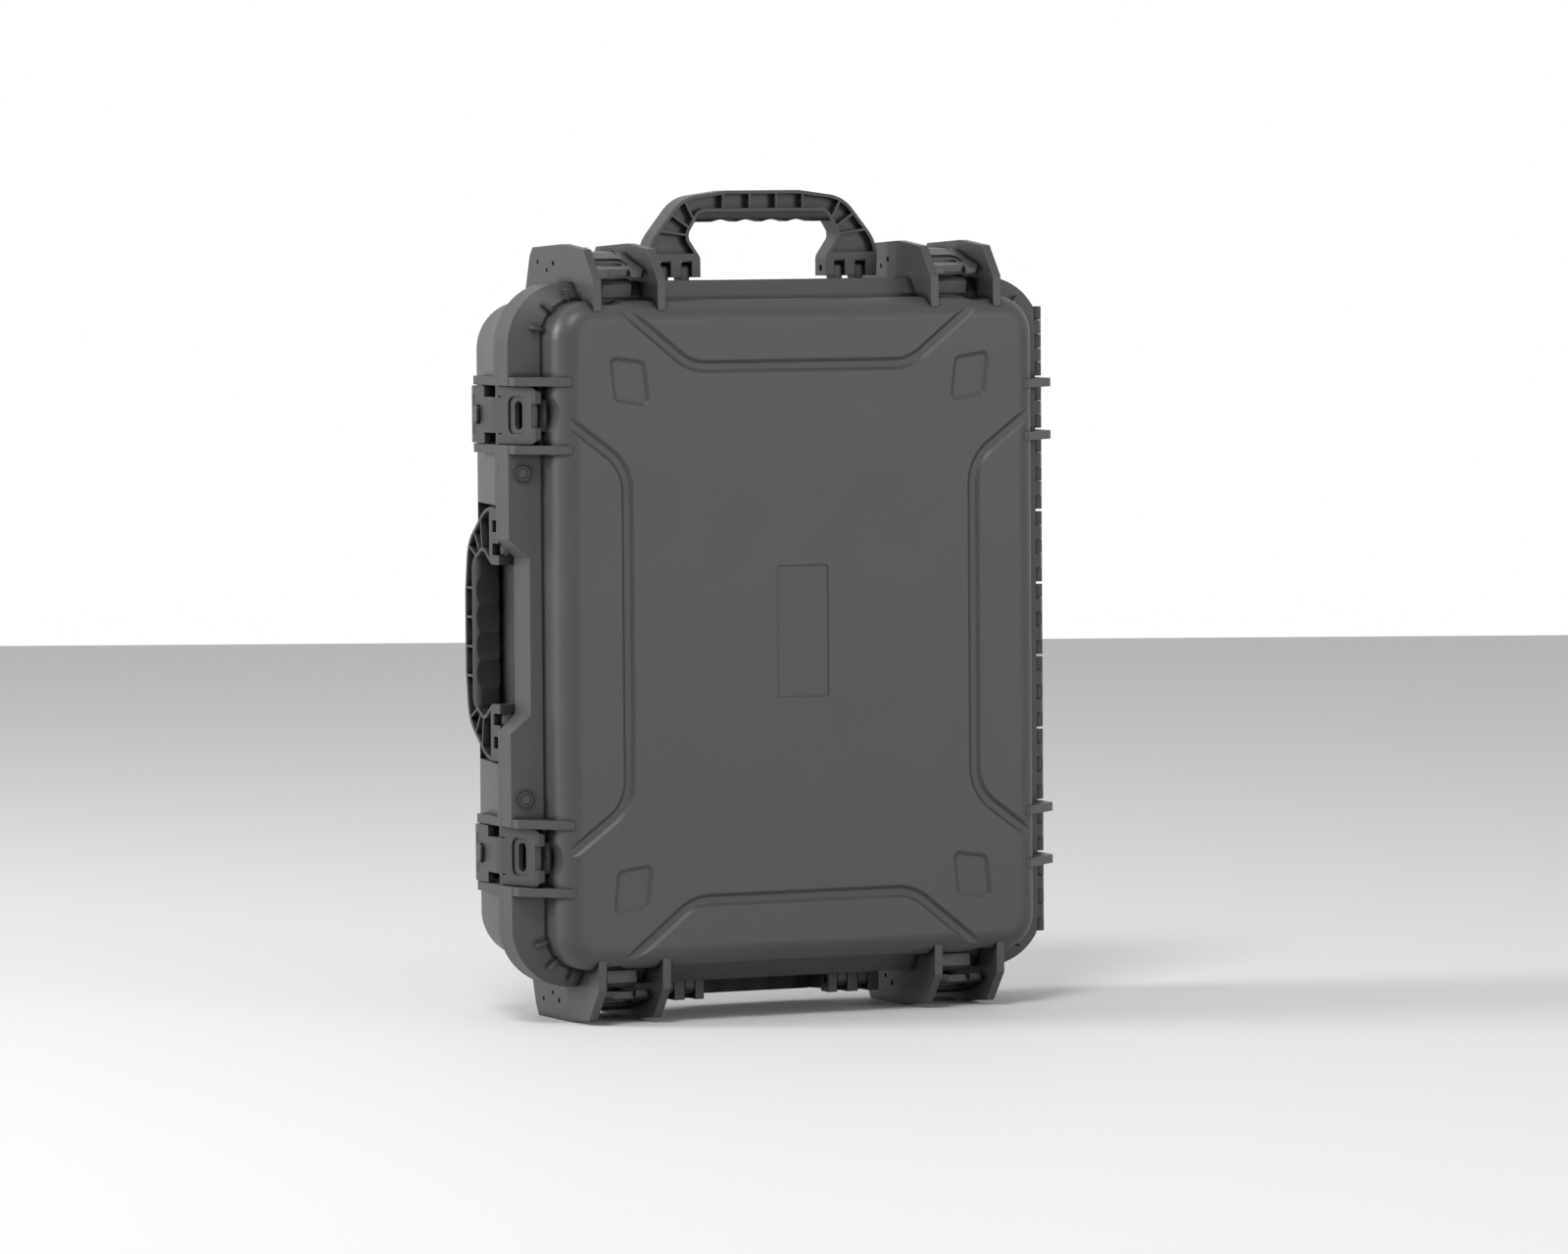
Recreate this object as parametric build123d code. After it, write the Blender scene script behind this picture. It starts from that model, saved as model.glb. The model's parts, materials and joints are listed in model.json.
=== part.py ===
from build123d import *
from math import atan2, degrees
import os

# Hard case for a laptop, standing on one end. Millimetres throughout.
# Working axes: X across the case, Y from the lid's face to the back, Z up with 0 at mid-height.
# At the end every piece is moved so that the origin is under the middle of the case, on the floor.

# ---- overall -----------------------------------------------------------------------------
case_depth = 156.0          # lid face to back
lid_depth = 60.0            # lid face to the parting plane
rim_half_x, rim_half_z, rim_corner = 220.6, 262.0, 47.0     # the rims where lid and base meet
foot_reach = rim_half_z + 28                                # mid-height to the tips of the guard fins
seam_gap = 0.4              # running gap between pieces of different bodies
wall = 4.0
beyond = 2 * foot_reach     # past every face of the case

# ---- lid ---------------------------------------------------------------------------------
dome_half_x, dome_half_z = rim_half_x - 23.8, rim_half_z - 14
dome_corner, dome_edge = 28.0, 16.5
flange_front, flange_shoulder = 32.0, 41.0      # depth at the dome, and at the rim's outer edge
flange_inner_x, flange_inner_z, flange_corner = dome_half_x + 1.7, dome_half_z + 3, 30.0
gusset_width, gusset_length, gusset_height = 2.6, 11.0, 8.0

# ---- base --------------------------------------------------------------------------------
base_half_x, base_half_z, base_corner = rim_half_x - 0.6, rim_half_z - 12, 44.0
back_half_x, back_half_z, back_corner, back_edge = base_half_x - 20, base_half_z - 4, 34.0, 22.0
base_rim_thick = 7.0
cavity_half_x, cavity_half_z, cavity_corner = base_half_x - 30, base_half_z - 8.5, 22.0
lid_cavity_half_x, lid_cavity_half_z = dome_half_x - wall, dome_half_z - wall

# ---- seal --------------------------------------------------------------------------------
seal_half_x, seal_half_z, seal_corner = rim_half_x - 20.6, rim_half_z - 9.6, 32.0
groove_width, groove_depth = 5.6, 4.6
seal_width, seal_height = 5.0, 3.2
ridge_width, ridge_height = 3.0, 0.9

# ---- guard fins --------------------------------------------------------------------------
fin_thick = 6.5
end_fin_pair, end_fin_gap = 138.4, 52.0         # centre of a pair from the middle, and its pitch
side_fin_pair, side_fin_gap = 163.8, 50.4
hinge_fin_pair, hinge_fin_gap = 161.7, 39.8
side_fin_inside = side_fin_gap / 2 - fin_thick / 2
end_fin_back_drop = 2.6                         # the upper fins fall away to the back

# ---- lid face ----------------------------------------------------------------------------
channel_width, channel_depth, channel_wall, channel_bend = 10.0, 2.2, 2.6, 36.0
dip_depth, dip_half = 3.2, 13.0                 # where a channel runs off the dome's edge
end_channel_z, end_channel_x, end_channel_exit = dome_half_z - 49.5, dome_half_x - 106.8, dome_half_x - 44.8
side_channel_x, side_channel_z, side_channel_exit = dome_half_x - 54.3, dome_half_z - 123, dome_half_z - 83
lozenge_x, lozenge_z = dome_half_x - 56.8, dome_half_z - 59.5
lozenge_half_x, lozenge_half_z = 15.0, 17.5
lozenge_lean, lozenge_tilt, lozenge_corner = 4.0, 4.5, 5.5
lozenge_depth, lozenge_wall = 1.8, 2.8
panel_half_x, panel_half_z, panel_depth = 21.0, 49.3, 0.6

# ---- hinge -------------------------------------------------------------------------------
hinge_x = rim_half_x + 4.4
knuckle_radius, hinge_pin_radius, hinge_clearance = 4.6, 2.0, 0.1
hinge_land_x = rim_half_x - 6.6                 # both rims are cut back to here beside the hinge
hinge_half_length = rim_half_z - 22.5
hinge_leaf_depth = 8.0
module_count, module_gap = 5, 1.5
module_pitch = (2 * hinge_fin_pair - hinge_fin_gap - fin_thick + seam_gap) / module_count
side_fin_out, hinge_fin_out = rim_half_x, hinge_x - seam_gap

# ---- latches -----------------------------------------------------------------------------
latch_width, latch_corner = 42.5, 5.0
latch_pin_y, latch_pin_radius = 77.0, 2.0
end_latch_pin_z, side_latch_pin_x = foot_reach - 14.5, rim_half_x - 7.6
latch_rise, latch_plate = 8.5, 4.6              # outer face above the pin, and plate thickness
latch_slope_start = 12.0                        # the plate is flat to here, then slopes to its tip
latch_tip_reach, latch_tip_drop, latch_lip = 56.0, 6.2, 4.2
latch_tail_reach, latch_barrel_radius = 35.0, 5.4
notch_front, notch_back, notch_deep = 13.6, 6.4, 8.0        # each side of the neck, over the pin
slit_width, slit_front = 1.0, 20.0
grip_slot_reach, grip_slot_length, grip_slot_width = 36.0, 21.5, 8.0
dish_length, dish_width, dish_corner, dish_depth = 28.5, 19.0, 6.0, 1.4
tip_notch_width, tip_notch_depth = 18.0, 4.0                # where a fingertip lifts the latch
button_length, button_width, button_height = 14.0, 8.0, 3.0
button_y, button_clearance, button_foot = 18.5, 0.4, 2.0
tail_groove_width, tail_groove_pitch, tail_groove_depth = 1.2, 3.0, 0.5
catch_pin_y, catch_pin_drop, catch_pin_radius = 11.8, 5.0, 1.7
spare_hole_y, spare_hole_rise = 29.0, 0.9
latch_relief_swing, latch_relief_gap = 15.0, 0.4            # a lid fin clears a latch as the lid swings
keeper_width, keeper_gap = 24.0, 0.5
latch_pocket_floor, latch_pocket_end = side_latch_pin_x - 17, latch_pin_y + 44
latch_land_x = side_latch_pin_x - 6.4

# ---- handles -----------------------------------------------------------------------------
handle_half, handle_height, handle_thick = 95.0, 60.0, 19.0
foot_inner, foot_drop = 52.0, 5.8               # inner edge of a foot, and its end below the pin
handle_bar, shoulder_round, hole_round = 14.0, 30.0, 8.0
handle_sweep = (foot_drop ** 2 + (handle_thick / 2) ** 2) ** 0.5     # reach of a foot's corner
handle_pin_radius, handle_pin_clearance = 2.5, 0.08
lug_near, lug_far, lug_width, lug_gap = 63.4, 80.7, 7.6, 0.6
lug_radius, lug_leg = 5.5, 25.0
end_handle_y, end_handle_z = 75.5, rim_half_z + 7.8
side_handle_x, side_handle_y = rim_half_x - 14, 77.0
rib_pitch, rib_thick, rib_pocket_depth, rib_border = 22.0, 1.8, 6.5, 2.6
rib_fan_x, rib_fan_z, rib_start_z = 50.0, 24.0, 12.0        # the shoulders' ribs fan out from here
finger_pitch, finger_depth, grip_depth = 20.9, 2.0, 7.5
grip_notch_x, grip_notch_half, grip_notch_ramp = side_handle_x, 58.0, 14.0

# ---- foam and bays -----------------------------------------------------------------------
foam_gap = 0.5
laptop_width, laptop_height, laptop_thick, laptop_x = 285.0, 400.0, 34.0, -32.0
tray_width, tray_height, tray_deep, tray_x = 46.0, 400.0, 52.0, 155.0
lid_foam_thick = 46.0
scoop_radius = 17.0

# ---- vents -------------------------------------------------------------------------------
vent_radius, vent_height, vent_stem_radius, vent_stem_length = 5.3, 4.2, 3.0, 6.0
vent_upper_z, vent_lower_z, vent_x = 121.0, -120.5, (flange_inner_x + rim_half_x) / 2 + 0.95

frame_shift = Location((0, -case_depth / 2, foot_reach))
parts = {}


def facing(y):
    """Plane across the case at depth y, with its normal to the front."""
    return Plane(origin=(0, y, 0), x_dir=(1, 0, 0), z_dir=(0, -1, 0))


def slab(half_x, half_z, corner, y0, y1):
    """Rounded rectangle across the case, from depth y0 to y1."""
    return extrude(facing(y0) * RectangleRounded(2 * half_x, 2 * half_z, corner), -(y1 - y0))


def taper_slab(front, back, y0, y1):
    """Loft between two rounded rectangles, each (half_x, half_z, corner)."""
    return loft(Sketch() + [
        facing(y0) * RectangleRounded(2 * front[0], 2 * front[1], front[2]),
        facing(y1) * RectangleRounded(2 * back[0], 2 * back[1], back[2]),
    ], ruled=True)


def sunk(outline, depth):
    """Recess of the given (x, z) outline, from just outside the lid's face to the depth."""
    return extrude(facing(-1) * outline, depth + 1, dir=(0, 1, 0))


def sloped(outline, grow, depth, slope):
    """As sunk, for the outline grown, with walls that slope in by the given width at the floor."""
    mouth, floor = offset(outline, grow + slope / depth), offset(outline, grow - slope)
    return loft(Sketch() + [facing(-1) * mouth, facing(depth) * floor], ruled=True)


def block(x0, x1, y0, y1, z0, z1):
    return Pos((x0 + x1) / 2, (y0 + y1) / 2, (z0 + z1) / 2) * Box(x1 - x0, y1 - y0, z1 - z0)


def ring(half_x, half_z, corner, width, y0, y1):
    """Closed band of the given width around the rim, centred on the outline."""
    grow = width / 2
    outer = slab(half_x + grow, half_z + grow, corner + grow, y0, y1)
    return outer - slab(half_x - grow, half_z - grow, corner - grow, y0, y1)


def upright(points, x0, x1):
    """Plate with a (y, z) outline, from x0 to x1."""
    outline = make_face(Plane.YZ.offset(x0) * Polyline(*points, close=True))
    return extrude(outline, x1 - x0, dir=(1, 0, 0))


def level(points, z0, z1):
    """Plate with an (x, y) outline, from z0 to z1."""
    outline = make_face(Plane.XY.offset(z0) * Polyline(*points, close=True))
    return extrude(outline, z1 - z0, dir=(0, 0, 1))


def four_ways(shape):
    """The shape and its mirror images left to right and top to bottom."""
    both = shape + mirror(shape, Plane.YZ)
    return both + mirror(both, Plane.XY)


# ---- placing what repeats: top, bottom and left copies of one latch and one handle ------------
def at_top(shape, x, y, z):
    return Pos(x, y, z) * shape


def at_bottom(shape, x, y, z):
    return mirror(at_top(shape, x, y, z), Plane.XY)


def at_left(shape, out, y, along):
    """Turns the top's +Z to the left, so the piece's X runs up the case."""
    return Pos(-out, y, along) * Rot(0, -90, 0) * shape


latch_places = {
    "top_left": (at_top, (-end_fin_pair, latch_pin_y, end_latch_pin_z)),
    "top_right": (at_top, (end_fin_pair, latch_pin_y, end_latch_pin_z)),
    "bottom_left": (at_bottom, (-end_fin_pair, latch_pin_y, end_latch_pin_z)),
    "bottom_right": (at_bottom, (end_fin_pair, latch_pin_y, end_latch_pin_z)),
    "side_upper": (at_left, (side_latch_pin_x, latch_pin_y, side_fin_pair)),
    "side_lower": (at_left, (side_latch_pin_x, latch_pin_y, -side_fin_pair)),
}


def folded_back(shape):
    """A raised handle laid over towards the back of the case."""
    return Rot(-90, 0, 0) * shape


handle_places = {
    "top": (at_top, (0, end_handle_y, end_handle_z), False),
    "bottom": (at_bottom, (0, end_handle_y, end_handle_z), True),
    "side": (at_left, (side_handle_x, side_handle_y, 0), True),
}


# ---- guard fins --------------------------------------------------------------------------
def end_fin_outline(back_drop):
    """Outline in (y, z) of a fin on an end of the case."""
    root = dome_half_z - 4
    return [
        (2.4, root - 8), (3.1, foot_reach - 26.6), (21.2, foot_reach - 3.8), (lid_depth, foot_reach),
        (115.5, foot_reach - back_drop), (121.0, foot_reach - 9), (133.0, root), (lid_depth, root),
    ]


def side_fin_outline(out):
    """Outline in (x, y) of a fin on a side of the case, on the right, that reaches out to x."""
    start = dome_half_x - 15.8
    return [
        (start, 0.2), (start + 9, 1.6), (start + 16.5, 8.0), (out - 1, 31.4), (out, 45.0),
        (out, 106.0), (out - 4, 112.0), (start + 24, 117.0), (start + 9, 118.0), (start + 9, 8.0),
    ]


def fin_places():
    """(side, low, high) of every fin: its side of the case and its span along that side."""
    for side, pair, gap in (
        ("end", end_fin_pair, end_fin_gap),
        ("left", side_fin_pair, side_fin_gap),
        ("right", hinge_fin_pair, hinge_fin_gap),
    ):
        for sign in (-1, 1):
            for step in (-gap / 2, gap / 2):
                middle = sign * pair + step
                yield side, middle - fin_thick / 2, middle + fin_thick / 2


def whole_fins():
    """Every fin over the case's full depth."""
    fins = []
    for side, low, high in fin_places():
        if side == "end":
            fins.append(upright(end_fin_outline(end_fin_back_drop), low, high))
            fins.append(mirror(upright(end_fin_outline(0.0), low, high), Plane.XY))
        elif side == "left":
            fins.append(mirror(level(side_fin_outline(side_fin_out), low, high), Plane.YZ))
        else:
            fins.append(level(side_fin_outline(hinge_fin_out), low, high))
    return fins


def fins_between(y0, y1, case, holes):
    """The fins from depth y0 to y1, standing on the case, less the given holes."""
    span = block(-beyond, beyond, y0, y1, -beyond, beyond)
    cut = [(fin & span) - case for fin in whole_fins()]
    return [fin - holes for fin in cut]


# ---- lid ---------------------------------------------------------------------------------
def channel(points):
    """Channel pressed into the lid's face round a filleted (x, z) outline that runs off the dome."""
    area = fillet(make_face(Polyline(*points, close=True)).vertices(), channel_bend)
    outer = sloped(area, channel_width / 2, channel_depth, channel_wall)
    return outer - sloped(area, -channel_width / 2, channel_depth, -channel_wall)


def lid_solid():
    dome = slab(dome_half_x, dome_half_z, dome_corner, 0, lid_depth)
    dome = fillet(dome.edges().group_by(Axis.Y)[0], dome_edge) - edge_dips()
    slope = taper_slab(
        (flange_inner_x, flange_inner_z, flange_corner),
        (rim_half_x, rim_half_z, rim_corner),
        flange_front, flange_shoulder,
    )
    return dome + slope + slab(rim_half_x, rim_half_z, rim_corner, flange_shoulder, lid_depth)


def side_channel():
    """Channel that frames the lid's right side, from edge to edge."""
    x, z, leave = side_channel_x, side_channel_z, side_channel_exit
    run = (leave - z) / (dome_half_x - x)
    out = dome_half_x + 60
    far = leave + 60 * run
    return channel([(x, z), (out, far), (out, -far), (x, -z)])


def end_channel():
    """Channel that frames the lid's upper end, from edge to edge."""
    x, z, leave = end_channel_x, end_channel_z, end_channel_exit
    run = (leave - x) / (dome_half_z - z)
    out = dome_half_z + 60
    far = leave + 60 * run
    return channel([(x, z), (far, out), (-far, out), (-x, z)])


def edge_dips():
    """Shallow round hollows where the channels run down the dome's sides."""
    radius = (dip_half ** 2 + dip_depth ** 2) / (2 * dip_depth)
    reach = radius - dip_depth
    side = sunk(Pos(dome_half_x + reach, side_channel_exit) * Circle(radius), lid_depth)
    end = sunk(Pos(end_channel_exit, dome_half_z + reach) * Circle(radius), lid_depth)
    return four_ways(side + end)


def lozenges():
    """Four slanted recesses with sloping walls, one near each corner of the lid's face."""
    w, h, s, t = lozenge_half_x, lozenge_half_z, lozenge_lean / 2, lozenge_tilt / 2
    outline = Polyline((-w + s, h - t), (w + s, h + t), (w - s, -h + t), (-w - s, -h - t), close=True)
    shape = fillet(make_face(outline).vertices(), lozenge_corner)
    return four_ways(sloped(Pos(lozenge_x, lozenge_z) * shape, 0, lozenge_depth, lozenge_wall))


def corner_gussets():
    """Three short ribs in each corner, in the angle between the dome and the flange."""
    ribs = []
    for angle in (14, 45, 76):
        rib = Pos(dome_corner + gusset_length / 2 - 1, 0, 0) * Box(gusset_length, gusset_height, gusset_width)
        place = Pos(dome_half_x - dome_corner, flange_front, dome_half_z - dome_corner)
        ribs.append(place * Rot(0, -angle, 0) * rib)
    return four_ways(ribs[0] + ribs[1] + ribs[2])


def side_notch(y0, y1, floor):
    """Notch in the left rim that gives the fingers room behind the side handle."""
    half, out = grip_notch_half, grip_notch_ramp + 10
    outline = [(-floor, half), (-floor - out, half + out), (-floor - out, -half - out), (-floor, -half)]
    return extrude(make_face(facing(y0) * Polyline(*outline, close=True)), y1 - y0, dir=(0, 1, 0))


def keepers():
    """Raised catches on the flange, each under the tip of a latch."""
    half = keeper_width / 2
    tip_y = latch_pin_y - latch_tip_reach
    top = end_latch_pin_z - latch_tip_drop - latch_plate - keeper_gap
    root, side_root, back = flange_inner_z - 1, flange_inner_x - 3.5, flange_shoulder + 4
    end = upright(
        [
            (tip_y + 6, root), (tip_y + 5, top - 5), (tip_y + 9, top - 1), (tip_y + 15, top),
            (back, top), (back, root),
        ],
        end_fin_pair - half, end_fin_pair + half,
    )
    ends = four_ways(end)
    out = side_latch_pin_x - latch_tip_drop - latch_plate - keeper_gap
    side = level(
        [
            (-side_root, tip_y + 5), (-out + 4, tip_y + 5), (-out, tip_y + 11),
            (-out - 4, back - 3), (-side_root, back - 3),
        ],
        side_fin_pair - half, side_fin_pair + half,
    )
    return ends + side + mirror(side, Plane.XY)


def lid_outside():
    """The lid's outer form, with its cut-backs and catches, before it is hollowed."""
    lid = lid_solid() + corner_gussets()
    lid -= side_notch(flange_front - 4, lid_depth + 1, grip_notch_x)
    for middle in (-side_fin_pair, side_fin_pair):
        low, high = middle - side_fin_inside, middle + side_fin_inside
        lid -= block(-beyond, -latch_land_x, flange_front - 4, lid_depth + 1, low, high)
    lid += keepers()
    lid -= block(hinge_land_x, beyond, flange_front - 4, lid_depth + 1, -hinge_half_length, hinge_half_length)
    return lid & block(-beyond, beyond, -1, lid_depth - seam_gap / 2, -beyond, beyond)


def make_lid_shell(outside):
    hollow = slab(lid_cavity_half_x, lid_cavity_half_z, dome_corner - wall, wall, lid_depth + 1)
    hollow = fillet(hollow.edges().group_by(Axis.Y)[0], dome_edge - wall)
    lid = outside - hollow
    lid -= ring(seal_half_x, seal_half_z, seal_corner, groove_width, lid_depth - groove_depth, lid_depth + 1)
    lid -= side_channel() + mirror(side_channel(), Plane.YZ)
    lid -= end_channel() + mirror(end_channel(), Plane.XY)
    lid -= lozenges()
    lid -= sunk(RectangleRounded(2 * panel_half_x, 2 * panel_half_z, 2), panel_depth)
    for stem in (vent(vent_upper_z)[1], vent(vent_lower_z)[1]):
        lid -= stem
    return lid


def vent(z):
    """Cap and stem of a pressure vent, square to the slope of the left flange."""
    run, rise = rim_half_x - flange_inner_x, flange_shoulder - flange_front
    y = flange_front + rise * (vent_x - flange_inner_x) / run
    seat = Plane(origin=(-vent_x, y, z), x_dir=(0, 0, 1), z_dir=(-rise, -run, 0))
    cap = extrude(seat * Circle(vent_radius), vent_height)
    line = Circle(vent_radius - 1.2) - Circle(vent_radius - 2.0)
    groove = extrude(seat.offset(vent_height - 0.8) * line, 1)
    stem = extrude(seat * Circle(vent_stem_radius), -vent_stem_length)
    return cap - groove, stem


# ---- base --------------------------------------------------------------------------------
def handle_lugs(place, numbers):
    """Two pairs of ears that carry a handle's pins."""
    ears = []
    for sign in (-1, 1):
        for reach in (lug_near, lug_far):
            ear = Pos(sign * reach, 0, 0) * Rot(0, 90, 0) * Cylinder(lug_radius, lug_width)
            leg = Pos(sign * reach, 0, -lug_leg / 2) * Box(lug_width, 2 * lug_radius, lug_leg)
            bore = Pos(sign * reach, 0, 0) * Rot(0, 90, 0) * Cylinder(handle_pin_radius, 2 * lug_width)
            ears.append(ear + leg - bore)
    return place(ears[0] + ears[1] + ears[2] + ears[3], *numbers)


def base_outside():
    """The base's outer form, with its pockets and notches, before it is hollowed."""
    y0 = lid_depth
    shell = taper_slab(
        (base_half_x, base_half_z, base_corner), (back_half_x, back_half_z, back_corner), y0, case_depth
    )
    shell = fillet(shell.edges().group_by(Axis.Y)[-1], back_edge)
    shell += slab(rim_half_x, rim_half_z, rim_corner, y0, y0 + base_rim_thick)
    for middle in (-side_fin_pair, side_fin_pair):
        low, high = middle - side_fin_inside, middle + side_fin_inside
        shell -= block(-beyond, -latch_pocket_floor, y0 + base_rim_thick, latch_pocket_end, low, high)
        shell -= block(-beyond, -grip_notch_x, y0 - 2, y0 + base_rim_thick + 1, low, high)
    run = hinge_half_length
    shell -= block(hinge_land_x, beyond, y0 - 2, y0 + hinge_leaf_depth + 1, -run, run)
    shell -= side_notch(y0 - 2, side_handle_y - lug_radius - 1, grip_notch_x)
    bay_half = handle_half + 1.5
    bay_floor = side_handle_x - handle_sweep - 1
    bay_y0 = side_handle_y - handle_sweep - 1
    shell -= block(-beyond, -bay_floor, bay_y0, side_handle_y + handle_height + 3, -bay_half, bay_half)
    return shell


def make_base_shell(outside):
    y0 = lid_depth
    cavity = slab(cavity_half_x, cavity_half_z, cavity_corner, y0 - 1, case_depth - wall)
    cavity = fillet(cavity.edges().group_by(Axis.Y)[-1], 14)
    shell = outside + ring(seal_half_x, seal_half_z, seal_corner, ridge_width, y0 - ridge_height, y0 + 1)
    for place, numbers, _ in handle_places.values():
        shell += handle_lugs(place, numbers)
    return shell - cavity - latch_holes()


# ---- hinge -------------------------------------------------------------------------------
def knuckle(z0, z1, toward, bore):
    """One knuckle on the hinge axis; its leaf is on the base's side (+1) or the lid's side (-1)."""
    leaf = [
        (hinge_land_x, seam_gap / 2), (hinge_x, seam_gap / 2), (hinge_x + 3.6, 2.5),
        (hinge_x, hinge_leaf_depth), (hinge_land_x, hinge_leaf_depth),
    ]
    placed = level([(x, lid_depth + toward * y) for x, y in leaf], z0, z1)
    middle = Pos(hinge_x, lid_depth, (z0 + z1) / 2)
    return placed + middle * Cylinder(knuckle_radius, z1 - z0) - middle * Cylinder(bore, z1 - z0 + 2)


def hinge_runs():
    """(low z, high z, knuckles) of each run of the hinge, broken by the guard fins."""
    half = module_pitch * module_count / 2
    runs = [
        (-half + n * module_pitch + module_gap / 2, -half + (n + 1) * module_pitch - module_gap / 2, 5)
        for n in range(module_count)
    ]
    inner = hinge_fin_pair - hinge_fin_gap / 2 + fin_thick / 2 + 0.8
    outer = hinge_fin_pair + hinge_fin_gap / 2 - fin_thick / 2 - 0.8
    past = hinge_fin_pair + hinge_fin_gap / 2 + fin_thick / 2 + 0.8
    for low, high, count in ((inner, outer, 3), (past, hinge_half_length - 0.5, 5)):
        runs += [(low, high, count), (-high, -low, count)]
    return runs


def make_hinge():
    """Base knuckles, lid knuckles and pins."""
    base_knuckles, lid_knuckles, pins = [], [], []
    for low, high, count in hinge_runs():
        pitch = (high - low) / count
        for n in range(count):
            z0, z1 = low + n * pitch + seam_gap / 2, low + (n + 1) * pitch - seam_gap / 2
            if n % 2 == 0:
                base_knuckles.append(knuckle(z0, z1, 1, hinge_pin_radius))
            else:
                lid_knuckles.append(knuckle(z0, z1, -1, hinge_pin_radius + hinge_clearance))
        pin = Pos(hinge_x, lid_depth, (low + high) / 2) * Cylinder(hinge_pin_radius, high - low - seam_gap)
        pins.append(pin)
    return base_knuckles, lid_knuckles, pins


# ---- latch -------------------------------------------------------------------------------
def latch_profile():
    """Side view in (y, z) of the latch plate, with the pin at the origin and the lid to the left."""
    top, under = latch_rise, latch_rise - latch_plate
    tip, drop, bend = -latch_tip_reach, -latch_tip_drop, -latch_slope_start
    return [
        (latch_tail_reach, top - 5.5), (latch_tail_reach - 3, top - 0.8), (latch_tail_reach - 8, top),
        (bend + 4, top), (bend - 2, top - 0.6), (-34, top - 7.4), (tip + 4, drop + 2.0), (tip + 0.6, drop),
        (tip, drop - latch_lip), (tip + 2.4, drop - latch_lip), (tip + 5, drop - 2.6),
        (-36, under - 8.6), (bend, under - 0.6), (bend + 4, under),
        (latch_tail_reach - 8, under), (latch_tail_reach, top - 8),
    ]


def sloping_dish():
    """Shallow hollow with rounded corners in the latch's sloping face."""
    rise = latch_rise + latch_tip_drop
    run = latch_tip_reach - latch_slope_start
    centre_z = latch_rise - rise * (grip_slot_reach - latch_slope_start) / run
    tilt = Rot(degrees(atan2(rise, run)), 0, 0)
    hollow = extrude(Pos(0, 0, -dish_depth) * RectangleRounded(dish_length, dish_width, dish_corner), 6)
    return Pos(0, -grip_slot_reach, centre_z) * tilt * hollow


def make_latch():
    """Rocking latch lever: tip over the lid's catch, barrel on the pin, ribbed tail to press."""
    half = latch_width / 2
    length = latch_tail_reach + latch_tip_reach
    plan = extrude(RectangleRounded(latch_width, length, latch_corner), 20, both=True)
    lever = upright(latch_profile(), -half, half) & Pos(0, latch_tail_reach - length / 2, 0) * plan
    neck = half - notch_deep
    lever += Rot(0, 90, 0) * Cylinder(latch_barrel_radius, 2 * neck)
    notch = Box(2 * notch_deep, notch_front + notch_back, 30)
    slit = Box(slit_width, 2 * (slit_front - notch_front), 30)
    for sign in (-1, 1):
        lever -= Pos(sign * half, (notch_back - notch_front) / 2, 0) * notch
        lever -= Pos(sign * (neck + slit_width / 2), -notch_front, 0) * slit
    lever -= Rot(0, 90, 0) * Cylinder(latch_pin_radius + hinge_clearance, latch_width + 2)
    lever -= extrude(Pos(0, -grip_slot_reach, -20) * SlotOverall(grip_slot_length, grip_slot_width), 40)
    lever -= sloping_dish()
    lever -= Pos(0, -latch_tip_reach, -latch_tip_drop) * Box(tip_notch_width, 2 * tip_notch_depth, 20)
    lever -= extrude(Pos(0, button_y, -10) * button_oval(button_clearance), 30)
    for groove in (-1, 0, 1):
        y = latch_tail_reach - 6.5 + tail_groove_pitch * groove
        lever -= Pos(0, y, latch_rise) * Box(half * 1.4, tail_groove_width, 2 * tail_groove_depth)
    return lever


def button_oval(grow=0.0):
    """Outline of the button, grown for the hole that it slides in."""
    return SlotOverall(button_length + 2 * grow, button_width + 2 * grow)


def make_button():
    """Oval push button through the latch, and the foot that keeps it there."""
    under = latch_rise - latch_plate - seam_gap
    body = extrude(Pos(0, button_y, under) * button_oval(), latch_rise + button_height - under)
    body = fillet(body.edges().group_by(Axis.Z)[-1], 1)
    foot = Pos(0, button_y, under - button_foot / 2) * Box(button_length + 4, button_width - 2, button_foot)
    return body + foot


def latch_reliefs():
    """Room in the lid's fins for a closed latch while the lid begins to swing on its hinge."""
    half, gap = latch_width / 2, latch_relief_gap
    tip_y = latch_pin_y - latch_tip_reach
    low, high = end_latch_pin_z - latch_tip_drop - latch_lip - gap, end_latch_pin_z + latch_rise + gap
    room = block(end_fin_pair - half - gap, end_fin_pair + half, tip_y - gap, lid_depth, low, high)
    axis = Pos(hinge_x, lid_depth, 0)
    room = axis * Rot(0, 0, -latch_relief_swing) * Pos(-hinge_x, -lid_depth, 0) * room
    return [room, mirror(room, Plane.XY)]


def latch_pins(place, numbers):
    """The pivot pin and the catch pin, each held in both of the latch's fins."""
    length = end_fin_gap + fin_thick - 3
    pivot = Rot(0, 90, 0) * Cylinder(latch_pin_radius, length)
    catch = Pos(0, catch_pin_y, -catch_pin_drop) * Rot(0, 90, 0) * Cylinder(catch_pin_radius, length)
    return place(pivot, *numbers), place(catch, *numbers)


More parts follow.
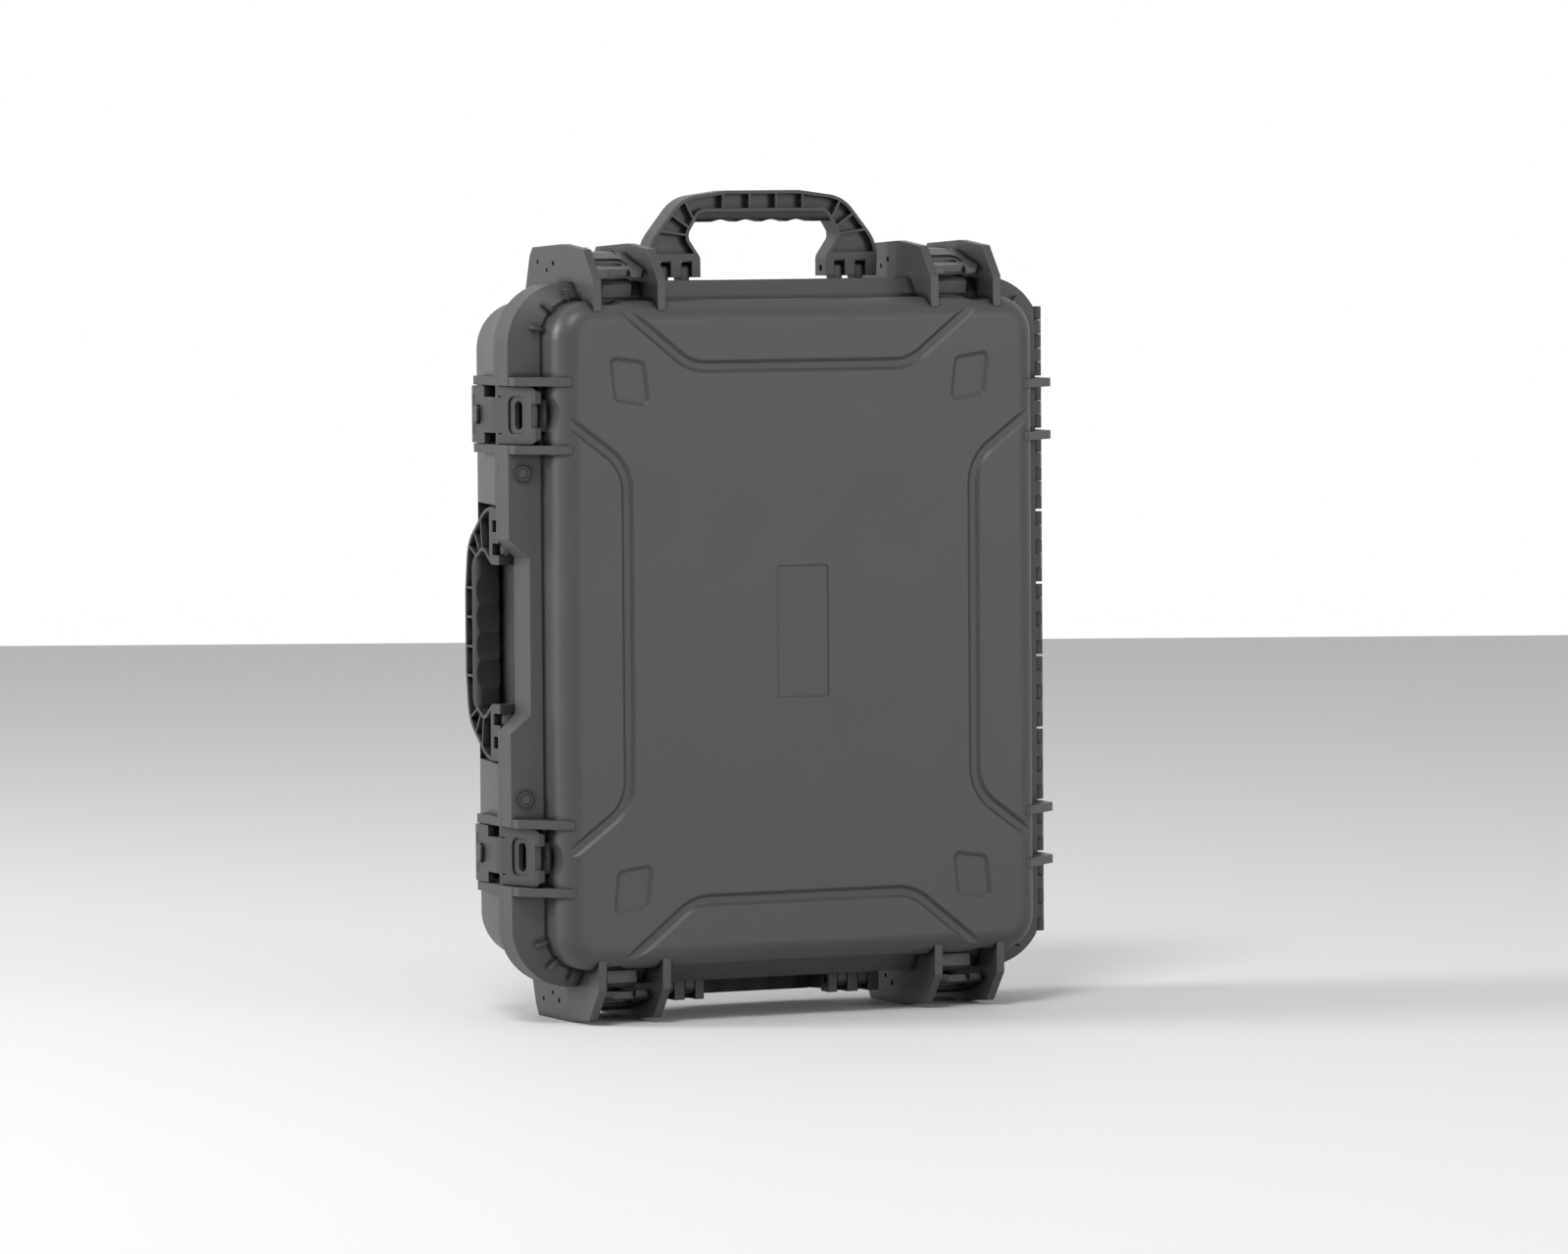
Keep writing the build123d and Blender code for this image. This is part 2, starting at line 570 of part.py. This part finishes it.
def latch_holes():
    """Three holes through both fins of each latch."""
    length = end_fin_gap + fin_thick + 4
    holes = []
    for place, numbers in latch_places.values():
        for y, z, radius in (
            (0, 0, latch_pin_radius),
            (catch_pin_y, -catch_pin_drop, catch_pin_radius),
            (spare_hole_y, spare_hole_rise, catch_pin_radius),
        ):
            holes.append(place(Pos(0, y, z) * Rot(0, 90, 0) * Cylinder(radius, length), *numbers))
    return holes


# ---- handle ------------------------------------------------------------------------------
def handle_hole():
    """Outline in (x, z) of the space between a raised handle's bar and its feet."""
    low = handle_height - handle_bar - 3
    hole = make_face(Plane.XZ * Polyline(
        (-foot_inner, -foot_drop - 1), (-foot_inner, 9), (-foot_inner - 11, 25), (-foot_inner, low),
        (foot_inner, low), (foot_inner + 11, 25), (foot_inner, 9), (foot_inner, -foot_drop - 1), close=True,
    ))
    return fillet(hole.vertices().filter_by(lambda v: v.Z > 0), hole_round)


def handle_outline():
    """Front view in (x, z) of a raised handle: bowed bar, round shoulders and two feet."""
    half, top = handle_half, handle_height
    outer = make_face(Plane.XZ * Polyline(
        (-half + 1, -foot_drop), (-half, 19), (-67, top - 6), (-30, top - 1), (30, top - 1), (67, top - 6),
        (half, 19), (half - 1, -foot_drop), close=True,
    ))
    return fillet(outer.vertices().filter_by(lambda v: v.Z > 10), shoulder_round) - handle_hole()


def handle_ribs():
    """Thin ribs across a handle's pocket: upright ones in the bar, a fan in each shoulder."""
    ribs = []
    for n in (-1.5, -0.5, 0.5, 1.5):
        ribs.append(Pos(n * rib_pitch, handle_height) * Rectangle(rib_thick, 2 * handle_bar))
    for angle in (8, 34, 62):
        rib = Pos(handle_bar * 2, 0) * Rectangle(handle_bar * 4, rib_thick)
        ribs.append(Pos(rib_fan_x, rib_fan_z) * Rot(0, 0, angle) * rib)
        ribs.append(Pos(-rib_fan_x, rib_fan_z) * Rot(0, 0, 180 - angle) * rib)
    return ribs


def handle_pocket():
    """Outline in (x, z) of the hollows in one face of a handle."""
    reach = 2 * handle_height
    pocket = offset(handle_outline(), -rib_border)
    pocket = pocket & (Plane.XZ * Pos(0, rib_start_z + reach / 2) * Rectangle(2 * handle_half, reach))
    for rib in handle_ribs():
        pocket -= Plane.XZ * rib
    return pocket


def make_handle_frame():
    """Ribbed frame, raised, with the pins' axis at the origin."""
    frame = extrude(handle_outline(), handle_thick / 2, both=True)
    hollow = extrude(handle_pocket(), rib_pocket_depth / 2, both=True)
    for side in (-1, 1):
        frame -= Pos(0, side * (handle_thick / 2 - rib_pocket_depth / 2), 0) * hollow
    for sign in (-1, 1):
        for reach in (lug_near, lug_far):
            frame -= Pos(sign * reach, 0, -2) * Box(lug_width + 2 * lug_gap, handle_thick + 2, 16.5)
        bore = Cylinder(handle_pin_radius + handle_pin_clearance, 2 * (handle_half - lug_near))
        frame -= Pos(sign * (lug_near + lug_far) / 2, 0, 0) * Rot(0, 90, 0) * bore
    return frame


def make_handle_grip():
    """Soft grip under the bar, scalloped for four fingers."""
    top = handle_height - handle_bar - 3
    band = Pos(0, top - grip_depth / 2) * Rectangle(2 * handle_half, grip_depth)
    profile = handle_hole() & (Plane.XZ * band)
    grip = extrude(profile, handle_thick / 2 + 0.5, both=True)
    grip = fillet(grip.edges().filter_by(Axis.X).group_by(Axis.Z)[0], 4)
    radius = (finger_pitch ** 2 / 4 + finger_depth ** 2) / (2 * finger_depth)
    for n in (-1.5, -0.5, 0.5, 1.5):
        scallop = Rot(90, 0, 0) * Cylinder(radius, 2 * handle_thick)
        grip -= Pos(n * finger_pitch, 0, top - grip_depth - radius + finger_depth) * scallop
    return grip


def handle_pins(place, numbers):
    """A handle's two pins, pressed into the ears."""
    length = lug_far - lug_near + lug_width + 4
    pin = Rot(0, 90, 0) * Cylinder(handle_pin_radius, length)
    return [place(Pos(sign * (lug_near + lug_far) / 2, 0, 0) * pin, *numbers) for sign in (-1, 1)]


# ---- soft pieces -------------------------------------------------------------------------
def make_gasket():
    """Seal that lies on the floor of the lid's groove."""
    floor = lid_depth - groove_depth
    return ring(seal_half_x, seal_half_z, seal_corner, seal_width, floor, floor + seal_height)


def make_base_foam():
    """Foam block cut out for a laptop and, beside it, a tray for its charger and leads."""
    y0, y1 = lid_depth + 1.5, case_depth - wall - foam_gap
    foam = slab(cavity_half_x - foam_gap, cavity_half_z - foam_gap, cavity_corner - foam_gap, y0, y1)
    foam = fillet(foam.edges().group_by(Axis.Y)[-1], 14)
    laptop = slab(laptop_width / 2, laptop_height / 2, 12, y0 - 1, y0 + laptop_thick)
    foam -= Pos(laptop_x, 0, 0) * laptop
    foam -= Pos(tray_x, 0, 0) * slab(tray_width / 2, tray_height / 2, 12, y0 - 1, y0 + tray_deep)
    for sign in (-1, 1):
        scoop = extrude(facing(y0 - 1) * Circle(scoop_radius), -(laptop_thick - 6))
        foam -= Pos(laptop_x, 0, sign * laptop_height / 2) * scoop
    return foam


def make_lid_foam():
    y0 = wall + foam_gap
    half_x, half_z = lid_cavity_half_x - foam_gap, lid_cavity_half_z - foam_gap
    foam = slab(half_x, half_z, dome_corner - wall - foam_gap, y0, y0 + lid_foam_thick)
    return fillet(foam.edges().group_by(Axis.Y)[0], dome_edge - wall)


# ---- build -------------------------------------------------------------------------------
lid_form, base_form = lid_outside(), base_outside()
base_knuckles, lid_knuckles, hinge_pins = make_hinge()
latch_lever, latch_button = make_latch(), make_button()
handle_frame, handle_grip = make_handle_frame(), make_handle_grip()

parts["lid_shell"] = [make_lid_shell(lid_form)]
parts["lid_guard_fins"] = fins_between(-1, lid_depth - seam_gap / 2, lid_form, latch_reliefs())
parts["lid_hinge_knuckles"] = lid_knuckles
parts["lid_gasket"] = [make_gasket()]
parts["lid_foam"] = [make_lid_foam()]
for name, z in (("vent_upper", vent_upper_z), ("vent_lower", vent_lower_z)):
    cap, stem = vent(z)
    parts[name] = [cap + stem]

parts["base_shell"] = [make_base_shell(base_form)]
parts["base_guard_fins"] = fins_between(lid_depth, case_depth, base_form, latch_holes())
parts["base_hinge_knuckles"] = base_knuckles
parts["hinge_pins"] = hinge_pins
parts["base_foam"] = [make_base_foam()]

pivot_pins, catch_pins = [], []
for name, (place, numbers) in latch_places.items():
    parts[f"latch_{name}"] = [place(latch_lever, *numbers)]
    parts[f"latch_button_{name}"] = [place(latch_button, *numbers)]
    pivot, catch = latch_pins(place, numbers)
    pivot_pins.append(pivot)
    catch_pins.append(catch)
parts["latch_pivot_pins"] = pivot_pins
parts["latch_catch_pins"] = catch_pins

for name, (place, numbers, folded) in handle_places.items():
    for piece, shape in (("frame", handle_frame), ("grip", handle_grip)):
        posed = folded_back(shape) if folded else shape
        parts[f"handle_{name}_{piece}"] = [place(posed, *numbers)]
    parts[f"handle_{name}_pins"] = handle_pins(place, numbers)

os.makedirs("parts", exist_ok=True)
for name, pieces in parts.items():
    solids = [solid for piece in pieces for solid in piece.solids()]
    export_step(frame_shift * Compound(children=solids), f"parts/{name}.step")
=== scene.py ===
import bpy
import json
import math
from mathutils import Matrix, Vector


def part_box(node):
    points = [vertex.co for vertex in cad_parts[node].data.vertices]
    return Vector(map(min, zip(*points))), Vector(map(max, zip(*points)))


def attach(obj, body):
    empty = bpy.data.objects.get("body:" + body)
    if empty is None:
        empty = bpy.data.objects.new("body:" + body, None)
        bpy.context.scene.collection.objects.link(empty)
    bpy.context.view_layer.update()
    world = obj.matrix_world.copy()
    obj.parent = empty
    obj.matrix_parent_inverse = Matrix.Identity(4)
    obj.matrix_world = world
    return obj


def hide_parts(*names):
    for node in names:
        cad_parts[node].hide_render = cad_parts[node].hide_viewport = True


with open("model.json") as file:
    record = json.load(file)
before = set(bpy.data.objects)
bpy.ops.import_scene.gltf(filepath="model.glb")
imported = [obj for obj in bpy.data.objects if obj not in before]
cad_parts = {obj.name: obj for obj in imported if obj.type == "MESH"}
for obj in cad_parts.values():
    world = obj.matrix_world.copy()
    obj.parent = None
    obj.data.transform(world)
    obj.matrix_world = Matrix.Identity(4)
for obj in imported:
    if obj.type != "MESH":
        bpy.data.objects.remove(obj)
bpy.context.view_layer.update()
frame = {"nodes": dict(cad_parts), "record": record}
nodes = frame["nodes"]

# Frame: metres, X across the case towards the hinge, Y from the lid's face to the back, Z up.
CASE_MIDDLE = Vector((0.0, -0.078, 0.290))     # middle of the lid's face

# ---- camera: the photograph's viewing angle -------------------------------------------------
IMAGE_WIDTH = 1600
FOCAL_PIXELS = 8600.72
YAW, PITCH, ROLL = math.radians(25.0), math.radians(3.07), math.radians(-0.40)
SHIFT_RIGHT, SHIFT_UP, DISTANCE = 0.01433, -0.00295, 6.2930      # of the case's middle from the camera
SENSOR_WIDTH = 36.0
VIEW_END = 50.0                                # farthest thing that the camera shows


def make_camera():
    forward = Vector((math.sin(YAW) * math.cos(PITCH), math.cos(YAW) * math.cos(PITCH), -math.sin(PITCH)))
    level = Vector((math.cos(YAW), -math.sin(YAW), 0.0))
    above = level.cross(forward)
    right = math.cos(ROLL) * level + math.sin(ROLL) * above
    up = -math.sin(ROLL) * level + math.cos(ROLL) * above
    data = bpy.data.cameras.new("camera")
    data.sensor_fit = "HORIZONTAL"
    data.sensor_width = SENSOR_WIDTH
    data.lens = FOCAL_PIXELS * SENSOR_WIDTH / IMAGE_WIDTH
    data.clip_end = VIEW_END
    camera = bpy.data.objects.new("camera", data)
    place = CASE_MIDDLE - SHIFT_RIGHT * right - SHIFT_UP * up - DISTANCE * forward
    turn = Matrix((right, up, -forward)).transposed()
    camera.matrix_world = Matrix.Translation(place) @ turn.to_4x4()
    bpy.context.scene.collection.objects.link(camera)
    bpy.context.scene.camera = camera


# ---- materials -------------------------------------------------------------------------------
MIX_A, MIX_B, MIX_RESULT = 6, 7, 2             # a Mix node's colour sockets
NOISE_LOW, NOISE_HIGH = 0.32, 0.68             # the range that a noise texture mostly stays in

EDGE_ROUND = 0.0009                            # how far in an edge's softening reaches
EDGE_FLAT, EDGE_TURNED = 0.99, 0.80            # cosine of the turn where an edge starts and is full
PEBBLE_SCALE, PEBBLE_DEPTH = 1150.0, 0.0003    # the moulded grain
MOTTLE_SCALE, MOTTLE = 14.0, 0.06              # faint mottling, and how much it changes the colour
SCUFF_SHEEN_SCALE, SCUFF_SHEEN_LEAST = 120.0, 0.35         # patchy rubbing wear and painted sheen along edges, and its least share
WORN_SHEEN_GAIN, WORN_SHEEN_LIFT = 1.9, 0.03               # a rubbed, sheen-painted edge's colour from the plastic's own
GLOSSIER, DULLER = 0.04, 0.05                  # how far the mottling moves the roughness

HOLLOW_REACH = 0.005                           # how near a wall has to be for painted shade on a surface
HOLLOW_DEEP, HOLLOW_OPEN = 0.60, 0.98          # openness at which a hollow is darkest and unshaded
HOLLOW_SHADE = 0.15                            # painted shade: the colour's share left in the deepest hollow

RING_SCALE, STAIN_SCALE = 900.0, 60.0          # a steel pin's turned rings and stains
STEEL_GLOSSY, STEEL_DULL = 0.26, 0.44

PORE_SCALE, COARSE_PORE_SCALE, PORE_DEPTH = 850.0, 260.0, 0.0010
FOAM_PATCH_SCALE, FOAM_PATCH = 30.0, 0.2       # the foam's uneven tone
FOAM_GLOSSY, FOAM_DULL = 0.88, 0.98


def new_material(name):
    """An empty node material: the material, its node tree and its shader, linked to the output."""
    material = bpy.data.materials.new(name)
    material.use_nodes = True
    tree = material.node_tree
    tree.nodes.clear()
    output = tree.nodes.new("ShaderNodeOutputMaterial")
    shader = tree.nodes.new("ShaderNodeBsdfPrincipled")
    tree.links.new(shader.outputs["BSDF"], output.inputs["Surface"])
    return material, tree, shader


def add(tree, kind, links=None, **values):
    """Adds a node, sets its sockets or properties by name, and links its inputs."""
    node = tree.nodes.new(kind)
    for key, value in values.items():
        if key in node.inputs:
            node.inputs[key].default_value = value
        else:
            setattr(node, key, value)
    for key, source in (links or {}).items():
        tree.links.new(source, node.inputs[key])
    return node


def object_place(tree):
    return add(tree, "ShaderNodeTexCoord").outputs["Object"]


def mapped(tree, source, low, high, new_low, new_high):
    """The source with low..high mapped to new_low..new_high."""
    spread = {"From Min": low, "From Max": high, "To Min": new_low, "To Max": new_high}
    return add(tree, "ShaderNodeMapRange", {"Value": source}, **spread).outputs["Result"]


def nudge(tree, noise, low, high):
    """Maps the middle of a noise texture's range to low..high."""
    return mapped(tree, noise.outputs["Fac"], NOISE_LOW, NOISE_HIGH, low, high)


def multiplied(tree, factor, colour):
    """A colour times a grey factor. The colour is a socket or three numbers."""
    mix = add(tree, "ShaderNodeMix", {MIX_B: factor}, data_type="RGBA", blend_type="MULTIPLY")
    mix.inputs["Factor"].default_value = 1.0
    if isinstance(colour, tuple):
        mix.inputs[MIX_A].default_value = (*colour, 1.0)
    else:
        tree.links.new(colour, mix.inputs[MIX_A])
    return mix.outputs[MIX_RESULT]


def edge_amount(tree, rounded, geometry):
    """0 on flat faces, up to 1 where the rounded normal turns away from the face."""
    facing = add(tree, "ShaderNodeVectorMath", {0: rounded, 1: geometry}, operation="DOT_PRODUCT")
    return mapped(tree, facing.outputs["Value"], EDGE_FLAT, EDGE_TURNED, 0.0, 1.0)


def painted_hollow_shade(tree, colour):
    """The colour with painted shade, darker in grooves and corners where light doesn't reach."""
    hollow = add(tree, "ShaderNodeAmbientOcclusion", samples=8, Distance=HOLLOW_REACH)
    shade = mapped(tree, hollow.outputs["AO"], HOLLOW_DEEP, HOLLOW_OPEN, HOLLOW_SHADE, 1.0)
    return multiplied(tree, shade, colour)


def ramp(tree, source, first, last):
    """A grey from first to last as the source goes from 0 to 1."""
    tone = add(tree, "ShaderNodeValToRGB", {"Fac": source})
    for element, grey in zip(tone.color_ramp.elements, (first, last)):
        element.color = (grey, grey, grey, 1)
    return tone.outputs["Color"]


def moulded_plastic(name, colour, roughness=0.45, grain=0.16, wear_and_sheen=0.35, edge=EDGE_ROUND):
    """Moulded plastic: pebble grain, faint mottling, softened edges, edges lightened in patches by rubbing
    wear and painted sheen, and painted shade in hollows.
    """
    material, tree, shader = new_material(name)
    place = object_place(tree)
    mottle = add(tree, "ShaderNodeTexNoise", {"Vector": place},
                 Scale=MOTTLE_SCALE, Detail=5.0, Roughness=0.62)
    pebble = add(tree, "ShaderNodeTexVoronoi", {"Vector": place}, Scale=PEBBLE_SCALE)
    scuff_and_sheen = add(tree, "ShaderNodeTexNoise", {"Vector": place}, Scale=SCUFF_SHEEN_SCALE, Detail=6.0, Roughness=0.7)
    rounded = add(tree, "ShaderNodeBevel", samples=6, Radius=edge).outputs["Normal"]
    geometry = add(tree, "ShaderNodeNewGeometry").outputs["Normal"]

    base = multiplied(tree, nudge(tree, mottle, 1 - MOTTLE, 1 + MOTTLE), colour)
    # Edges lightened in patches: partly rubbing wear, partly painted sheen.
    rubbed_and_sheen = add(tree, "ShaderNodeMath", {
        0: edge_amount(tree, rounded, geometry), 1: nudge(tree, scuff_and_sheen, SCUFF_SHEEN_LEAST * wear_and_sheen, wear_and_sheen),
    }, operation="MULTIPLY")
    worn_and_sheen = add(tree, "ShaderNodeMix", {"Factor": rubbed_and_sheen.outputs[0], MIX_A: base}, data_type="RGBA")
    worn_and_sheen.inputs[MIX_B].default_value = (*[min(1.0, WORN_SHEEN_GAIN * c + WORN_SHEEN_LIFT) for c in colour], 1.0)
    # painted shade in grooves and corners over the base colour
    tree.links.new(painted_hollow_shade(tree, worn_and_sheen.outputs[MIX_RESULT]), shader.inputs["Base Color"])

    uneven = nudge(tree, mottle, roughness - GLOSSIER, roughness + DULLER)
    tree.links.new(uneven, shader.inputs["Roughness"])
    bump = add(tree, "ShaderNodeBump", {"Height": pebble.outputs["Distance"], "Normal": rounded},
               Strength=grain, Distance=PEBBLE_DEPTH)
    tree.links.new(bump.outputs["Normal"], shader.inputs["Normal"])
    return material


def turned_steel(name, dark, light):
    """Steel pin stock: fine rings, slightly stained."""
    material, tree, shader = new_material(name)
    place = object_place(tree)
    rings = add(tree, "ShaderNodeTexNoise", {"Vector": place}, Scale=RING_SCALE, Detail=2.0)
    stain = add(tree, "ShaderNodeTexNoise", {"Vector": place}, Scale=STAIN_SCALE, Detail=4.0)
    tree.links.new(nudge(tree, rings, STEEL_GLOSSY, STEEL_DULL), shader.inputs["Roughness"])
    tree.links.new(ramp(tree, stain.outputs["Fac"], dark, light), shader.inputs["Base Color"])
    shader.inputs["Metallic"].default_value = 1.0
    return material


def open_foam(name, colour):
    """Open-cell foam: dense pores of two sizes and soft, uneven tone."""
    material, tree, shader = new_material(name)
    place = object_place(tree)
    pores = add(tree, "ShaderNodeTexVoronoi", {"Vector": place}, Scale=PORE_SCALE)
    coarse = add(tree, "ShaderNodeTexVoronoi", {"Vector": place}, Scale=COARSE_PORE_SCALE)
    patch = add(tree, "ShaderNodeTexNoise", {"Vector": place}, Scale=FOAM_PATCH_SCALE, Detail=6.0)
    tone = multiplied(tree, nudge(tree, patch, 1 - FOAM_PATCH, 1 + FOAM_PATCH), colour)
    tree.links.new(tone, shader.inputs["Base Color"])
    depth = add(tree, "ShaderNodeMath", {
        0: pores.outputs["Distance"], 1: coarse.outputs["Distance"],
    }, operation="ADD")
    bump = add(tree, "ShaderNodeBump", {"Height": depth.outputs[0]}, Strength=0.8, Distance=PORE_DEPTH)
    tree.links.new(bump.outputs["Normal"], shader.inputs["Normal"])
    tree.links.new(nudge(tree, patch, FOAM_GLOSSY, FOAM_DULL), shader.inputs["Roughness"])
    shader.inputs["Specular IOR Level"].default_value = 0.2
    shader.inputs["Sheen Weight"].default_value = 0.15
    return material


def make_materials():
    """One material for each material slot of the record."""
    return {
        "shell": moulded_plastic("case_plastic", (0.052, 0.052, 0.053), roughness=0.45),
        "hinge": moulded_plastic("hinge_plastic", (0.030, 0.030, 0.031), edge=0.0005),
        "latch": moulded_plastic("latch_plastic", (0.034, 0.034, 0.035), roughness=0.38, edge=0.0006),
        "button": moulded_plastic("button_plastic", (0.050, 0.050, 0.051), roughness=0.38, edge=0.0005),
        "handle": moulded_plastic("handle_plastic", (0.034, 0.034, 0.035), roughness=0.42, edge=0.0006),
        "grip": moulded_plastic("grip_rubber", (0.016, 0.016, 0.017), roughness=0.60, grain=0.3, wear_and_sheen=0.1),
        "vent": moulded_plastic("vent_plastic", (0.045, 0.045, 0.046), roughness=0.42, edge=0.0004),
        "seal": moulded_plastic("seal_rubber", (0.018, 0.018, 0.019), roughness=0.6, grain=0.2, wear_and_sheen=0.0),
        "foam": open_foam("lining_foam", (0.035, 0.036, 0.039)),
        "pin": turned_steel("pin_steel", dark=0.16, light=0.34),
    }


def dress_nodes(materials):
    for row in frame["record"]["subparts"]:
        mesh = nodes[row["node"]].data
        mesh.materials.clear()
        mesh.materials.append(materials[row["material_slot"]])


# ---- soft pieces: the foam lining and the lid's seal ------------------------------------------
FOAM_CELL, SEAL_CELL = 0.0040, 0.0012          # mesh size of a foam piece and of the seal
SMOOTHING = 0.5                                # strength of one round of softening
CRATE_PITCH = 0.052                            # distance between the lid foam's peaks
CRATE_DEPTH = 0.42                             # depth of its hollows as a share of its thickness
CORNER_DRAW_X, CORNER_DRAW_Z = 0.004, 0.003    # share by which cut foam draws in at its corners


def softened(node, cell, rounds):
    """A new piece: an even mesh over a CAD solid, with its cut edges rounded off."""
    piece = bpy.data.objects.new(node + "_soft", nodes[node].data.copy())
    bpy.context.scene.collection.objects.link(piece)
    remesh = piece.modifiers.new("even", "REMESH")
    remesh.mode = "VOXEL"
    remesh.voxel_size = cell
    soften = piece.modifiers.new("soften", "SMOOTH")
    soften.factor = SMOOTHING
    soften.iterations = rounds
    bpy.context.view_layer.update()
    mesh = bpy.data.meshes.new_from_object(piece.evaluated_get(bpy.context.evaluated_depsgraph_get()))
    piece.modifiers.clear()
    piece.data = mesh
    for polygon in mesh.polygons:
        polygon.use_smooth = True
    return piece


def place_soft(piece, node, body, material):
    piece.data.materials.clear()
    piece.data.materials.append(material)
    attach(piece, body)
    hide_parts(node)


def crate_height(x, z):
    """0 to 1 over the lid foam's pattern of peaks and hollows."""
    turn = 2 * math.pi / CRATE_PITCH
    return 0.5 + 0.5 * math.cos(turn * x) * math.cos(turn * z)


def shape_lid_foam(mesh):
    """Peaks and hollows over the face that looks into the case."""
    back = min(v.co.y for v in mesh.vertices)
    for v in mesh.vertices:
        hollow = CRATE_DEPTH * (1 - crate_height(v.co.x, v.co.z - CASE_MIDDLE.z))
        v.co.y = back + (v.co.y - back) * (1 - hollow)


def shape_base_foam(mesh):
    """Cut foam draws in a little towards its corners."""
    low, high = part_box("base_foam")
    half_x, half_z = (high[0] - low[0]) / 2, (high[2] - low[2]) / 2
    for v in mesh.vertices:
        across, up = v.co.x / half_x, (v.co.z - CASE_MIDDLE.z) / half_z
        v.co.x *= 1 - CORNER_DRAW_X * min(1.0, up ** 2)
        v.co.z -= CORNER_DRAW_Z * min(1.0, across ** 2) * (v.co.z - CASE_MIDDLE.z)


def make_soft_pieces(materials):
    for node, body, rounds, shape in (
        ("base_foam", "base", 3, shape_base_foam),
        ("lid_foam", "lid", 2, shape_lid_foam),
    ):
        piece = softened(node, FOAM_CELL, rounds)
        shape(piece.data)
        place_soft(piece, node, body, materials["foam"])
    seal = softened("lid_gasket", SEAL_CELL, 3)
    place_soft(seal, "lid_gasket", "lid", materials["seal"])


# ---- floor, world and lamps -------------------------------------------------------------------
FLOOR_NEAR, FLOOR_FAR, FLOOR_SIDE = -9.0, 5.05, 9.0        # along the view and across it
FLOOR_PAINTED_GREY_NEAR, FLOOR_PAINTED_GREY_FAR = 0.94, 0.90               # painted shade: the floor's grey in front and, slightly darker, behind
FLOOR_BLEND_NEAR, FLOOR_BLEND_FAR = -1.2, 4.6              # where one passes into the other
FLOOR_ROUGHNESS = 0.7

WHITE = (1, 1, 1, 1)
SHOWN_STRENGTH, FILL_STRENGTH = 1.0, 0.34      # the background as seen, and as it lights the case
LAMP_AIM = Vector((0, 0, 0.3))
LAMPS = (                                      # name, place, size in metres, watts
    ("key", (-1.8, -2.2, 3.9), 1.4, 76.0),
    ("front", (2.4, -4.6, 1.2), 2.2, 46.0),
    ("side", (-3.4, 1.2, 1.8), 1.5, 86.0),
)


def make_stage():
    """A pale floor with painted shade, greying slightly towards the back, that ends in front of a white
    background.
    """
    mesh = bpy.data.meshes.new("floor")
    corners = [(side, reach, 0) for reach in (FLOOR_NEAR, FLOOR_FAR) for side in (-FLOOR_SIDE, FLOOR_SIDE)]
    mesh.from_pydata(corners, [], [(0, 1, 3, 2)])
    floor = bpy.data.objects.new("floor", mesh)
    floor.rotation_euler.z = -YAW
    bpy.context.scene.collection.objects.link(floor)
    material, tree, shader = new_material("floor_white")
    place = add(tree, "ShaderNodeSeparateXYZ", {0: object_place(tree)})
    # Painted shade: the floor's grey falls off from front to back.
    back = mapped(tree, place.outputs["Y"], FLOOR_BLEND_NEAR, FLOOR_BLEND_FAR, 0.0, 1.0)
    tree.links.new(ramp(tree, back, FLOOR_PAINTED_GREY_NEAR, FLOOR_PAINTED_GREY_FAR), shader.inputs["Base Color"])
    shader.inputs["Roughness"].default_value = FLOOR_ROUGHNESS
    mesh.materials.append(material)


def make_world():
    """Camera, glossy and transmission rays see a white background; other rays get the weaker fill."""
    world = bpy.data.worlds.new("studio")
    bpy.context.scene.world = world
    world.use_nodes = True
    tree = world.node_tree
    tree.nodes.clear()
    output = tree.nodes.new("ShaderNodeOutputWorld")
    back = add(tree, "ShaderNodeBackground", Color=WHITE, Strength=SHOWN_STRENGTH)
    fill = add(tree, "ShaderNodeBackground", Color=WHITE, Strength=FILL_STRENGTH)
    path = add(tree, "ShaderNodeLightPath")
    seen = path.outputs["Is Camera Ray"]
    for ray in ("Is Glossy Ray", "Is Transmission Ray"):
        seen = add(tree, "ShaderNodeMath", {0: seen, 1: path.outputs[ray]}, operation="MAXIMUM").outputs[0]
    mix = add(tree, "ShaderNodeMixShader", {0: seen, 1: fill.outputs[0], 2: back.outputs[0]})
    tree.links.new(mix.outputs[0], output.inputs["Surface"])


def make_lamps():
    for name, place, size, power in LAMPS:
        data = bpy.data.lights.new(name, "AREA")
        data.shape, data.size, data.energy = "DISK", size, power
        lamp = bpy.data.objects.new(name, data)
        lamp.location = place
        lamp.rotation_euler = (LAMP_AIM - Vector(place)).to_track_quat("-Z", "Y").to_euler()
        bpy.context.scene.collection.objects.link(lamp)


make_camera()
make_world()
make_lamps()
make_stage()
materials = make_materials()
dress_nodes(materials)
make_soft_pieces(materials)

bpy.context.scene.view_settings.view_transform = "Standard"
